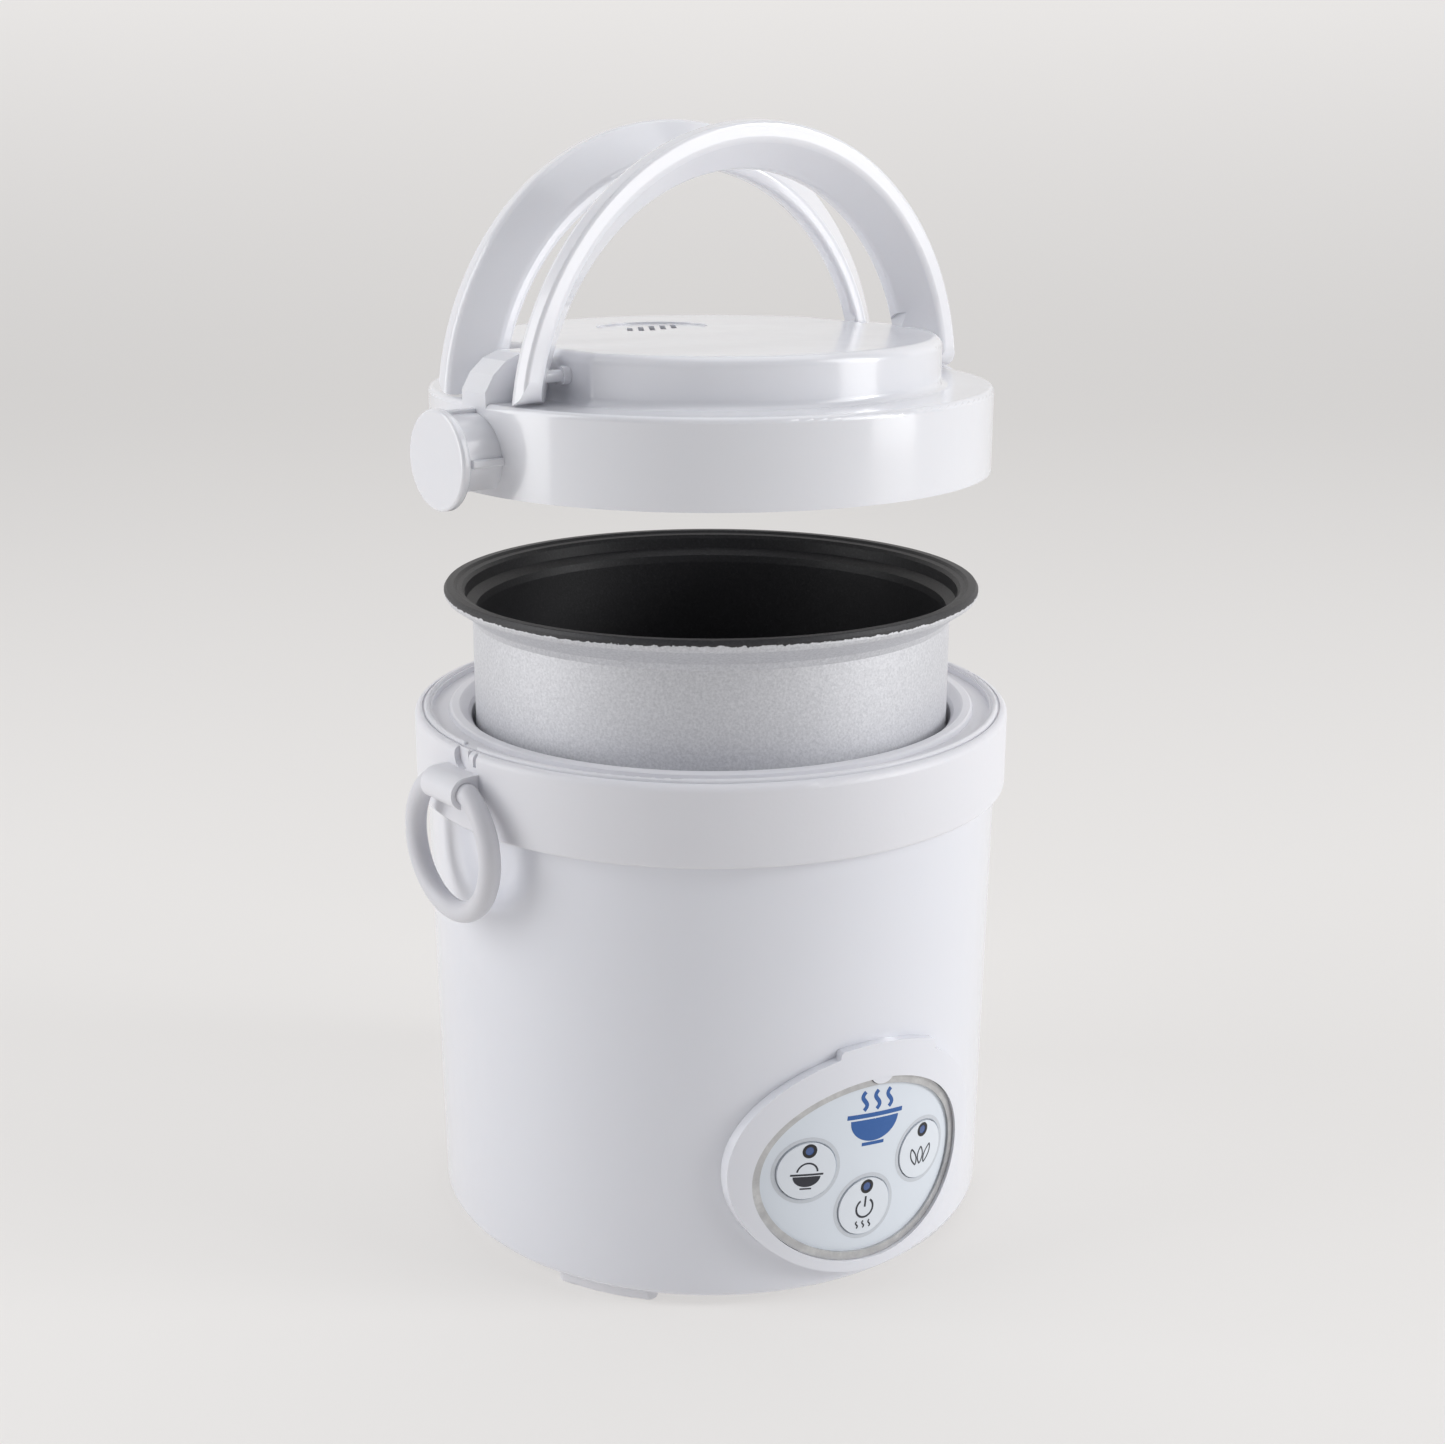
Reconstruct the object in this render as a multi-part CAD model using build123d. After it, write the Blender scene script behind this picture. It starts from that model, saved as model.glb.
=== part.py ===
"""A small carry-along rice cooker: body, lift-out pot, latching lid with two folding handles.

Millimetres, +Z up. The origin is on the surface that the feet stand on, on the cooker's own axis.
The pot and the lid are drawn lifted clear of the body, each by its own lift.
"""
from math import asin, atan2, cos, degrees, pi, radians, sin, sqrt
import os

from build123d import *

# ---------------------------------------------------------------- driving dimensions
GAP = 0.3                  # ordinary clearance between pieces of different bodies
SNUG = 0.1                 # clearance between pieces of one body
RUNNING = 0.05             # radial clearance of a pin in its bore

# the pot sets the width of everything round it
POT_R = 62.6               # outside of the pot's wall
POT_WALL = 1.2
POT_HEIGHT = 80.0
POT_LIFT = 27.2            # how far the pot is drawn above its seat
POT_RIM_R = POT_R + 7.2
MOUTH_R = POT_R + 1.2      # round opening that the pot goes through

LID_WALL = 1.5
LID_R = POT_RIM_R + 0.5 + LID_WALL     # outside of the lid's skirt
LID_SKIRT = 21.3
LID_LIFT = 63.5            # how far the lid is drawn above its seat
CROWN_R = LID_R - 13.3     # raised middle of the lid
CROWN_RISE = 12.0
CROWN_FLAT = CROWN_R - 4.5             # the crown is cut flat here, at both pivots

FOOT_DROP = 2.6            # the body's lower edge stands this high
COLLAR_TOP = 136.4         # all body heights are counted from the body's lower edge
COLLAR_LOW = COLLAR_TOP - 20.5
RECESS_R = LID_R + 2.1     # outer side of the channel that the lid's skirt drops into
RECESS_DEPTH = 1.5
COLLAR_R = RECESS_R + 4.6
BODY_R_HIGH = COLLAR_R - 2.4           # outer radius of the shell just under the collar
BODY_R_LOW = BODY_R_HIGH - 1.6         # outer radius of the shell at its lower edge
SHELL_WALL = 2.4
LATCH_AZIMUTH = -141.0     # plane of the latches, ears and handle pivots
PANEL_AZIMUTH = -58.6
BACK_AZIMUTH = PANEL_AZIMUTH + 180.0

# handles
PIVOT_OFFSET = 12.9        # each handle turns this far to its own side of the latch plane
PIVOT_RISE = 6.3           # pivot height above the lid's ledge
HANDLE_R = CROWN_R + 6.1   # mean radius of a handle's arc, about the lid's axis when folded
HANDLE_END = 5.9           # rounded end about the pivot
HANDLE_LEAN_BACK = 0.5     # degrees away from the middle
HANDLE_LEAN_FRONT = 2.4
PIN_R = 1.5
PIN_SHOULDER_R = 2.6

# latch
HANGER_Z = COLLAR_TOP - 9.0            # pivot height of a latch ring
HANGER_R = COLLAR_R + 3.5  # pivot distance from the axis
HANGER_HALF = 7.0
RING_R = 17.0              # mean radius of a latch ring
RING_SECTION = 2.7
RING_BAR = RING_R - 2.2    # straight bar's height above the ring's middle
KNOB_R = RING_R - RING_SECTION - 2.3   # the ring passes over the knob's disc
KNOB_BARREL_R = KNOB_R - 1.5
KNOB_ABOVE_BAR = RING_BAR + 1.65       # knob's middle above the ring's bar when latched
KNOB_REACH = HANGER_R + 0.6            # outer face of the knob, from the axis
KNOB_DISC = 2.4

# control panel, in the plane that faces PANEL_AZIMUTH
PANEL_Z = 31.5
PANEL_TILT = -6.0
PANEL_A = 31.5             # half width of the bezel's opening
PANEL_B = 24.8
BEZEL_RIM = 5.8
BEZEL_RISE = 2.6            # the bezel's oval sits above the opening's middle
BEZEL_R = BODY_R_LOW + 3.1
OVERLAY_R = BODY_R_LOW + 1.5
BUTTON_R = 7.6
BUTTON_SPREAD = PANEL_A - 13.9
BUTTON_HIGH = 1.2
BUTTON_LOW = -10.5
BUTTON_TRAVEL = 0.8
LED_R = 1.5
LED_ABOVE = 5.4

# mains inlet
INLET_Z = 22.0
INLET_W = 27.0
INLET_H = 19.0
INLET_FACE = BODY_R_LOW + 1.7

# inside
PLATE_R = POT_R - 6.6
PLATE_THICK = 7.0
PLATE_FIXING_R = PLATE_R - 12.0
ELEMENT_R = 36.0           # mean radius of the heater's loop
ELEMENT_SECTION = 3.0
LINER_WALL = 0.8
LINER_DROP = 4.9           # space between heating plate and liner floor
SENSOR_R = 13.0
SENSOR_TRAVEL = 2.3
BASE_R = BODY_R_LOW - 4.8
BASE_THICK = 2.0
BASE_SCREW_R = BASE_R - 5.2
BOARD_THICK = 1.6
CAP_FLANGE_D = OVERLAY_R - 8.5         # back of each key cap, from the axis
CONTROL_BOARD_D = CAP_FLANGE_D - 8.9   # back of the control board, from the axis
STEM_TIP_D = CONTROL_BOARD_D + BOARD_THICK + 4.0 + BUTTON_TRAVEL + 0.1
POWER_BOARD_Z = 10.0

# ---------------------------------------------------------------- derived places
B0 = FOOT_DROP
CHANNEL_Z = B0 + COLLAR_TOP - RECESS_DEPTH
RIM_SEAT_Z = B0 + COLLAR_TOP + 5.0                 # rim's top when the pot is seated
POT_TOP = RIM_SEAT_Z + POT_LIFT
POT_BOTTOM = POT_TOP - POT_HEIGHT
PLATE_TOP = POT_BOTTOM - POT_LIFT - GAP
PLATE_LOW = PLATE_TOP - PLATE_THICK
LINER_R = MOUTH_R + LINER_WALL + SNUG
LINER_FLOOR = PLATE_LOW - LINER_DROP               # top face of the liner's floor
NECK_LOW = B0 + COLLAR_TOP - 12.4
LID_Z = CHANNEL_Z + GAP + LID_LIFT                 # lower edge of the skirt as drawn
LEDGE_Z = LID_Z + LID_SKIRT
CROWN_Z = LEDGE_Z + CROWN_RISE
KNOB_Z = B0 + HANGER_Z + LID_LIFT + KNOB_ABOVE_BAR
PIVOT_Z = LEDGE_Z + PIVOT_RISE
SCREW_AZIMUTHS = (-140.0, -10.0, 75.0, 165.0)
FOOT_AZIMUTHS = (-112.0, 8.0, 128.0)
LINER_SCREW_AZIMUTHS = (-20.0, 100.0, -120.0)


# ---------------------------------------------------------------- helpers
def direction(azimuth):
    """Unit vector pointing out from the axis."""
    return Vector(cos(radians(azimuth)), sin(radians(azimuth)), 0)


def facing(azimuth, distance, z, turn=0.0):
    """Plane that faces outwards; local x runs anticlockwise round the body, local y is up."""
    out = direction(azimuth)
    side = Vector(-sin(radians(azimuth)), cos(radians(azimuth)), 0)
    up = Vector(0, 0, 1)
    x_dir = side * cos(radians(turn)) + up * sin(radians(turn))
    return Plane(origin=out * distance + up * z, x_dir=x_dir, z_dir=out)


def ring(outer, inner, low, high):
    """Plain upright tube."""
    body = Pos(0, 0, low) * extrude(Circle(outer), high - low)
    if inner > 0:
        body -= Pos(0, 0, low - 1) * extrude(Circle(inner), high - low + 2)
    return body


def lathe(points, low=0.0, arc=360.0):
    """Solid of revolution of an outline given as (radius, height)."""
    outline = [(r, z + low) for r, z in points]
    return revolve(Plane.XZ * make_face(Polyline(*outline, close=True)), Axis.Z, arc)


def peg(azimuth, distance, radius, low, high):
    """Upright rod at a polar place."""
    place = direction(azimuth) * distance
    return Pos(place.X, place.Y, low) * extrude(Circle(radius), high - low)


def radial_rod(azimuth, start, end, radius, z, side=0.0):
    """Rod that points out from the axis, shifted sideways."""
    return facing(azimuth, start, z) * Pos(side, 0, 0) * extrude(Circle(radius), end - start)


def safe_fillet(solid, edges, radius):
    """Round edges, with a smaller radius where the full one doesn't fit."""
    for size in (radius, radius * 0.7, radius * 0.45):
        try:
            return fillet(edges, size)
        except (ValueError, RuntimeError):
            continue
    return solid


def shell_radius(height):
    """Outer radius of the body shell at a height above its lower edge."""
    return BODY_R_LOW + (BODY_R_HIGH - BODY_R_LOW) * height / COLLAR_TOP


def screw(azimuth, distance, z_head, length, shaft_r, upward=True):
    """Pan-head screw whose head's seat is at z_head."""
    head_h = shaft_r * 1.1
    place = direction(azimuth) * distance
    sign = 1 if upward else -1
    head = Pos(0, 0, -head_h / 2) * Cylinder(shaft_r * 1.9, head_h)
    slot = Pos(0, 0, -head_h) * Box(shaft_r * 2.6, shaft_r * 0.45, head_h * 0.9)
    cross = Pos(0, 0, -head_h) * Box(shaft_r * 0.45, shaft_r * 2.6, head_h * 0.9)
    shaft = Pos(0, 0, length / 2) * Cylinder(shaft_r, length)
    body = head - slot - cross + shaft
    if sign < 0:
        body = Rot(180, 0, 0) * body
    return Pos(place.X, place.Y, z_head) * body


def tube_along(points, radii, section):
    """Wire of round section along straight runs joined by arcs."""
    path = FilletPolyline(*points, radius=radii)
    start = Plane(origin=path @ 0, z_dir=path % 0)
    return sweep(start * Circle(section), path=path)


def wire(points, section):
    """Wire whose every arc is as large as its two runs allow."""
    radii = []
    for before, here, after in zip(points, points[1:], points[2:]):
        first = Vector(*here) - Vector(*before)
        second = Vector(*after) - Vector(*here)
        turn = radians(first.get_angle(second))
        radii.append(0.45 * min(first.length, second.length) / sin(turn / 2) * cos(turn / 2))
    print("wire arcs", [round(r, 1) for r in radii])
    return tube_along(points, radii, section)


def save(name, *solids):
    """Write one node; several solids stay separate inside it."""
    shapes = []
    for solid in solids:
        shapes.extend(solid.solids())
    whole = shapes[0] if len(shapes) == 1 else Compound(children=shapes)
    export_step(whole, f"parts/{name}.step")


# ---------------------------------------------------------------- body
def panel_plane(distance):
    return facing(PANEL_AZIMUTH, distance, B0 + PANEL_Z, PANEL_TILT)


def panel_column(a, b, start, end):
    """Oval column through the panel, pointing out of the body."""
    return panel_plane(start) * extrude(Ellipse(a, b), end - start)


def body_cone(growth=0.0):
    """The space that the shell's outside encloses."""
    return lathe([(0, 0), (BODY_R_LOW + growth, 0), (BODY_R_HIGH + growth, COLLAR_TOP),
                  (0, COLLAR_TOP)], B0)


def inlet_plane(distance):
    return facing(BACK_AZIMUTH, distance, B0 + INLET_Z)


def make_body_shell():
    top = COLLAR_TOP - 4.6
    high_r = shell_radius(top)
    wall = lathe([(BASE_R + SNUG, 0), (BODY_R_LOW, 0), (high_r, top), (high_r - SHELL_WALL, top),
                  (BODY_R_LOW - SHELL_WALL, 3.4), (BASE_R + SNUG, 3.4)], B0)
    lower_edge = wall.edges().filter_by(GeomType.CIRCLE).group_by(Axis.Z)[0].sort_by(Edge.length)[-1]
    wall = safe_fillet(wall, [lower_edge], 2.2)
    pad = inlet_plane(BODY_R_LOW - SHELL_WALL - 1) * extrude(
        RectangleRounded(INLET_W + 13, INLET_H + 11, 4), INLET_FACE - BODY_R_LOW + SHELL_WALL + 1)
    wall += pad - ring(BODY_R_LOW - SHELL_WALL - 0.6, 0, 0, 60)
    for azimuth in SCREW_AZIMUTHS:
        boss = peg(azimuth, BASE_SCREW_R, 4.2, B0 + BASE_THICK + SNUG, B0 + 17)
        web = facing(azimuth, BASE_SCREW_R + 1.5, B0 + 10) * extrude(Rectangle(2.0, 12), 7.2)
        wall += boss + web
        wall -= peg(azimuth, BASE_SCREW_R, 1.3, B0, B0 + 14)
    wall -= panel_column(PANEL_A - 2.0, PANEL_B - 2.0, BODY_R_LOW - 15, BODY_R_LOW + 15)
    window = RectangleRounded(INLET_W + 2 * SNUG, INLET_H + 2 * SNUG, 2)
    wall -= inlet_plane(BODY_R_LOW - 15) * extrude(window, 30)
    for side in (-1, 1):
        at = side * (INLET_W / 2 + 3.2)
        wall -= radial_rod(BACK_AZIMUTH, BODY_R_LOW - 5, BODY_R_LOW + 6, 1.1, B0 + INLET_Z, at)
    return wall


def make_collar():
    neck = NECK_LOW - B0
    outline = [(BODY_R_HIGH + GAP, COLLAR_LOW), (COLLAR_R, COLLAR_LOW), (COLLAR_R, COLLAR_TOP),
               (RECESS_R, COLLAR_TOP), (RECESS_R, COLLAR_TOP - RECESS_DEPTH),
               (POT_RIM_R - 0.2, COLLAR_TOP - RECESS_DEPTH), (POT_RIM_R - 0.5, COLLAR_TOP - 0.3),
               (POT_RIM_R - 1.0, COLLAR_TOP), (MOUTH_R + 3.1, COLLAR_TOP),
               (MOUTH_R + 2.6, COLLAR_TOP - 0.3), (MOUTH_R + 0.8, COLLAR_TOP - 1.8),
               (MOUTH_R, COLLAR_TOP - 2.9), (MOUTH_R, neck), (MOUTH_R + 2.0, neck),
               (MOUTH_R + 2.0, COLLAR_TOP - 4.4), (BODY_R_HIGH + GAP, COLLAR_TOP - 4.4)]
    collar = lathe(outline, B0)
    rims = collar.edges().filter_by(GeomType.CIRCLE)
    top_rim = rims.group_by(Axis.Z)[-1].sort_by(Edge.length)[-1]
    collar = safe_fillet(collar, [top_rim], 1.8)
    low_rim = collar.edges().filter_by(GeomType.CIRCLE).group_by(Axis.Z)[0].sort_by(Edge.length)[-1]
    collar = safe_fillet(collar, [low_rim], 0.8)
    # fine groove and raised bead round the mouth; the bead stops at each latch
    groove = COLLAR_R - 2.35
    collar -= lathe([(groove, COLLAR_TOP - 0.5), (groove + 0.5, COLLAR_TOP - 0.5),
                     (groove + 0.5, COLLAR_TOP + 1), (groove, COLLAR_TOP + 1)], B0)
    bead_r = RECESS_R + 1.3
    break_angle = degrees(6.5 / bead_r)
    for half in (0, 180):
        start = LATCH_AZIMUTH + half + break_angle / 2
        section = Plane.XZ * Pos(bead_r, B0 + COLLAR_TOP - 0.05) * Circle(0.75)
        bead = revolve(Rot(0, 0, start) * section, Axis.Z, 180 - break_angle)
        collar += bead
        for end in (start, start + 180 - break_angle):
            place = direction(end) * bead_r
            collar += Pos(place.X, place.Y, B0 + COLLAR_TOP - 0.05) * Sphere(0.75)
    for half in (0, 180):
        azimuth = LATCH_AZIMUTH + half
        top = B0 + COLLAR_TOP
        notch = Rectangle(6.4, 4) + Pos(0, -2) * Circle(3.2)
        cutter = facing(azimuth, COLLAR_R - 1.6, top) * extrude(notch, 4)
        arch = Circle(2.0) + Pos(0, 2) * Rectangle(4, 4)
        step = facing(azimuth, COLLAR_R - 1.1, top - 1.4) * extrude(arch, 4)
        post = facing(azimuth, COLLAR_R - 1.8, top) * Pos(1.9, -2.2, 0) * extrude(Rectangle(1.3, 4.2), 1.4)
        slit = facing(azimuth, COLLAR_R - 1.5, top) * Pos(5.6, -1.2, 0) * extrude(Rectangle(1.2, 4.4), 4)
        collar = collar - cutter - slit + (post - step)
    for azimuth in LINER_SCREW_AZIMUTHS:
        collar += peg(azimuth, LINER_R + 4.2, 2.6, NECK_LOW, B0 + COLLAR_TOP - 4.2)
        collar -= peg(azimuth, LINER_R + 4.2, 1.05, NECK_LOW - 1, NECK_LOW + 6)
    return collar


def make_hanger(azimuth):
    """Clip on the collar that a latch ring's bar turns in; open underneath."""
    bore = RING_SECTION + RUNNING
    outer = bore + 1.3
    plane = Plane(origin=direction(azimuth) * HANGER_R + Vector(0, 0, B0 + HANGER_Z),
                  x_dir=direction(azimuth), z_dir=Vector(sin(radians(azimuth)), -cos(radians(azimuth)), 0))
    # local x points outwards, local y is up or down, local z runs along the bar
    up = 1 if plane.y_dir.Z > 0 else -1
    reach = HANGER_R - COLLAR_R + 3
    block = Circle(outer)
    block += Pos(-reach / 2, up * outer / 2) * Rectangle(reach, outer)
    block += Pos(-reach + 1.2, -up * 1.6) * Rectangle(2.4, 2 * outer + 1.5)
    block -= Circle(bore)
    mouth = Pos(-0.5, -up * 6) * Rectangle(3.6, 12)
    block -= mouth
    clip = plane * Pos(0, 0, -HANGER_HALF) * extrude(block, 2 * HANGER_HALF)
    return clip - ring(COLLAR_R, 0, B0, B0 + 200)


def make_latch_ring(azimuth):
    """Ring with a straight bar; drawn hanging from its clip."""
    half_bar = sqrt(RING_R ** 2 - RING_BAR ** 2)
    rise = degrees(atan2(RING_BAR, half_bar))
    centre = direction(azimuth) * HANGER_R + Vector(0, 0, B0 + HANGER_Z - RING_BAR)
    plane = Plane(origin=centre, x_dir=Vector(-sin(radians(azimuth)), cos(radians(azimuth)), 0),
                  z_dir=direction(azimuth))
    section = Plane(origin=(RING_R, 0, 0), x_dir=(1, 0, 0), z_dir=(0, 1, 0)) * Circle(RING_SECTION)
    # the arc runs from one end of the bar, under the ring, to the other end
    bend = revolve(section, Axis.Z, 180 + 2 * rise)
    bend = Rot(0, 0, 180 - rise) * bend
    bar = Plane(origin=(-half_bar, RING_BAR, 0), z_dir=(1, 0, 0)) * extrude(
        Circle(RING_SECTION), 2 * half_bar)
    whole = bend + bar
    for side in (-1, 1):
        whole += Pos(side * half_bar, RING_BAR, 0) * Sphere(RING_SECTION)
    return plane * whole


def make_base_plate():
    plate = ring(BASE_R, 0, B0, B0 + BASE_THICK)
    for azimuth in SCREW_AZIMUTHS:
        plate -= peg(azimuth, BASE_SCREW_R, 1.7, B0 - 1, B0 + 5)
        plate -= peg(azimuth, BASE_SCREW_R, 3.6, B0 - 1, B0 + 0.9)
    for row in (26, 34, 42):
        for step in range(6):
            azimuth = step * 60 + 30
            slot = facing(azimuth, row, B0) * Pos(0, 1, 0) * Box(17, 6, 2.2)
            plate -= slot
    for azimuth in FOOT_AZIMUTHS:
        for turn in (-6, 6):
            plate -= peg(azimuth + turn, BASE_R - 2.7, 1.4 + SNUG, B0 - 1, B0 + 5)
    for x, y in power_board_posts():
        plate += Pos(x, y, B0 + BASE_THICK / 2) * extrude(
            Circle(2.8), POWER_BOARD_Z - B0 - BASE_THICK / 2)
        plate -= Pos(x, y, POWER_BOARD_Z - 2) * Cylinder(0.95, 5)
    return plate


def make_foot(azimuth):
    """Arc-shaped pad with two pegs into the base plate."""
    sweep_angle = 22.0
    inner = BASE_R - 5.1
    outer = BASE_R + 3.3
    pad = lathe([(inner, 0), (outer, 0), (outer, B0), (inner, B0)], 0, sweep_angle)
    pad = Rot(0, 0, azimuth - sweep_angle / 2) * pad
    pad = safe_fillet(pad, pad.edges().filter_by(Axis.Z), 2.4)
    low = pad.faces().sort_by(Axis.Z)[0].edges()
    pad = safe_fillet(pad, low, 0.6)
    for turn in (-6, 6):
        pad += peg(azimuth + turn, BASE_R - 2.7, 1.4, B0 - 0.5, B0 + BASE_THICK + 1.0)
    return pad


# ---------------------------------------------------------------- pot and heating
def make_pot():
    r = POT_R
    t = POT_WALL
    h = POT_HEIGHT
    rim = POT_RIM_R
    outside = [(0, -h), (r - 9, -h), (r - 4.2, -h + 1.3), (r - 1.2, -h + 4.2), (r, -h + 9),
               (r, -9.0), (r + 0.9, -7.2), (rim - 3.4, -4.9), (rim - 0.6, -3.0), (rim, -2.0),
               (rim, -0.9), (rim - 0.6, 0)]
    inside = [(rim - 2.6, 0), (rim - 3.3, -0.7), (rim - 4.6, -1.0), (rim - 5.3, -1.9),
              (rim - 5.6, -4.7), (r - t + 0.3, -6.4), (r - t, -8.4), (r - t, -h + 9.4),
              (r - t - 1.1, -h + 5.1), (r - 4.9, -h + 2.5), (r - 9.2, -h + t), (0, -h + t)]
    pot = lathe(outside + inside, POT_TOP)
    corners = pot.edges().filter_by(GeomType.CIRCLE).group_by(Axis.Z)
    lip = [e for group in corners[-1:] for e in group]
    return safe_fillet(pot, lip, 0.35)


def make_liner():
    """Steel heat shield round the pot, with a floor that carries the heating plate."""
    low = LINER_FLOOR - LINER_WALL
    r = LINER_R
    liner = lathe([(18, low), (r - 1.6, low), (r, low + 1.6), (r, NECK_LOW - LINER_WALL),
                   (r + 7.2, NECK_LOW - LINER_WALL), (r + 7.2, NECK_LOW), (r - LINER_WALL, NECK_LOW),
                   (r - LINER_WALL, low + 2.0), (r - 2.0, LINER_FLOOR), (18, LINER_FLOOR)])
    for azimuth in LINER_SCREW_AZIMUTHS:
        liner -= peg(azimuth, r + 4.2, 1.4, NECK_LOW - 5, NECK_LOW + 5)
    for azimuth in plate_azimuths():
        liner -= peg(azimuth, PLATE_FIXING_R, 2.1, low - 1, LINER_FLOOR + 1)
    for azimuth in element_ends():
        liner -= peg(azimuth, ELEMENT_R, 3.2, low - 1, LINER_FLOOR + 1)
    for azimuth in sensor_screw_azimuths():
        liner -= peg(azimuth, 20.5, 1.3, low - 1, LINER_FLOOR + 1)
    return liner


def plate_azimuths():
    return (60, 180, 300)


def sensor_screw_azimuths():
    return (0, 120, 240)


def make_heating_plate():
    """Cast plate with a central hole, a shallow crown and a groove for its element."""
    hole = SENSOR_R + 1.2
    plate = lathe([(hole, PLATE_LOW), (PLATE_R - 3, PLATE_LOW), (PLATE_R, PLATE_LOW + 3),
                   (PLATE_R, PLATE_TOP - 2.0), (PLATE_R - 5, PLATE_TOP), (hole + 0.6, PLATE_TOP),
                   (hole, PLATE_TOP - 0.6)])
    plate -= Pos(0, 0, PLATE_LOW) * Torus(ELEMENT_R, ELEMENT_SECTION + SNUG)
    for azimuth in plate_azimuths():
        plate -= peg(azimuth, PLATE_FIXING_R, 1.6, PLATE_LOW - 1, PLATE_LOW + 4)
    for radius in (22, 29, 37, 45):
        plate -= ring(radius + 0.4, radius - 0.4, PLATE_TOP - 0.35, PLATE_TOP + 1)
    return plate


def element_ends():
    """Azimuths of the heater's two ends."""
    half_gap = degrees(asin(10.0 / ELEMENT_R))
    return (180 - half_gap, 180 + half_gap)


def make_element():
    """Tubular heater: most of a circle, with two pins that turn down through the liner."""
    first, last = element_ends()
    section = Plane(origin=(ELEMENT_R, 0, 0), x_dir=(1, 0, 0), z_dir=(0, 1, 0)) * Circle(ELEMENT_SECTION)
    loop = revolve(section, Axis.Z, 360 - (last - first))
    loop = Pos(0, 0, PLATE_LOW) * Rot(0, 0, last) * loop
    for azimuth in (first, last):
        place = direction(azimuth) * ELEMENT_R
        loop += Pos(place.X, place.Y, PLATE_LOW) * Sphere(ELEMENT_SECTION)
        loop += peg(azimuth, ELEMENT_R, 1.4, LINER_FLOOR - 8, PLATE_LOW)
    return loop


def make_standoff(azimuth):
    low = LINER_FLOOR
    sleeve = peg(azimuth, PLATE_FIXING_R, 4.0, low, PLATE_LOW)
    return sleeve - peg(azimuth, PLATE_FIXING_R, 2.0, low - 1, PLATE_LOW + 1)


def sensor_heights():
    top = PLATE_TOP + SENSOR_TRAVEL + 0.1
    return top, top - 5.0


def make_sensor_cap():
    top, low = sensor_heights()
    cap = lathe([(0, top - 1.4), (SENSOR_R - 1.2, top - 1.4), (SENSOR_R - 1.2, low), (SENSOR_R, low),
                 (SENSOR_R, top - 1.0), (SENSOR_R - 1.0, top), (0, top)])
    return cap


def make_sensor_stem():
    top = sensor_heights()[0] - 1.4
    stem = ring(2.0, 0, LINER_FLOOR - 9.0, top) + ring(5.5, 0, top - 2.2, top)
    stem += ring(3.4, 0, LINER_FLOOR - 9.0, LINER_FLOOR - 7.6)
    return stem


def make_sensor_guide():
    """Cup under the liner that guides the sensor's stem."""
    low = LINER_FLOOR - LINER_WALL
    guide = lathe([(2.0 + RUNNING, low - 3.4), (12.0, low - 3.4), (12.0, low - 1.2), (23.5, low - 1.2),
                   (23.5, low), (10.6, low), (10.6, low - 2.2), (2.0 + RUNNING, low - 2.2)])
    for azimuth in sensor_screw_azimuths():
        guide -= peg(azimuth, 20.5, 1.3, low - 3, low + 3)
    return guide


def make_sensor_spring():
    low = LINER_FLOOR - LINER_WALL - 2.2 + 0.8
    high = sensor_heights()[0] - 1.4 - 0.8
    path = Helix(pitch=(high - low) / 4.5, height=high - low, radius=8.0)
    section = Plane(origin=path @ 0, z_dir=path % 0) * Circle(0.55)
    return Pos(0, 0, low) * sweep(section, path=path, is_frenet=True)


def make_fuse():
    z = LINER_FLOOR - LINER_WALL - 3.1
    body = Plane(origin=(28, 16, z), z_dir=(0, 1, 0)) * extrude(Circle(2.1), 11)
    return body


def make_fuse_clip():
    z = LINER_FLOOR - LINER_WALL
    clip = Pos(30.5, 21.5, z - 2.8) * Box(11.6, 5, 5.6)
    clip -= Pos(28, 21.5, z - 3.1) * Rot(90, 0, 0) * Cylinder(2.1 + SNUG, 12)
    clip -= Pos(34, 21.5, z - 3.9) * Box(6, 8, 5.4)
    return clip


# ---------------------------------------------------------------- electrics
def power_board_posts():
    return ((-31, -14), (31, -14), (-31, 18), (31, 18))


def make_power_board():
    board = Pos(0, 2, POWER_BOARD_Z + BOARD_THICK / 2) * Box(72, 42, BOARD_THICK)
    for x, y in power_board_posts():
        board -= Pos(x, y, POWER_BOARD_Z) * Cylinder(1.3, 8)
    return board


def on_board(x, y, length, width, height):
    top = POWER_BOARD_Z + BOARD_THICK
    block = Pos(x, y, top + height / 2) * Box(length, width, height)
    return safe_fillet(block, block.edges().filter_by(Axis.Z), 0.8)


def make_transformer():
    core = on_board(-12, 8, 18, 22, 6)
    coil = on_board(-12, 8, 12, 14, 17)
    return core + coil + on_board(-12, 8, 18, 15, 14)


def make_capacitors():
    top = POWER_BOARD_Z + BOARD_THICK
    return [Pos(6, -12, top + 7) * Cylinder(4, 14), Pos(18, -13, top + 5) * Cylinder(3, 10)]


def control_plane(distance, along=0.0, up=0.0):
    return facing(PANEL_AZIMUTH, distance, B0 + 27.0) * Pos(along, up, 0)


def make_control_board():
    board = control_plane(CONTROL_BOARD_D) * extrude(RectangleRounded(60, 31, 2), BOARD_THICK)
    for side in (-1, 1):
        board -= control_plane(CONTROL_BOARD_D - 2, side * 27, -12) * extrude(Circle(1.3), 8)
    return board


def button_places():
    """Middle of each key in the panel's own tilted axes."""
    return {"left": (-BUTTON_SPREAD, BUTTON_HIGH), "right": (BUTTON_SPREAD, BUTTON_HIGH),
            "power": (0.0, BUTTON_LOW)}


def panel_rod(place, radius, start, end):
    return panel_plane(start) * Pos(place[0], place[1], 0) * extrude(Circle(radius), end - start)


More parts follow.
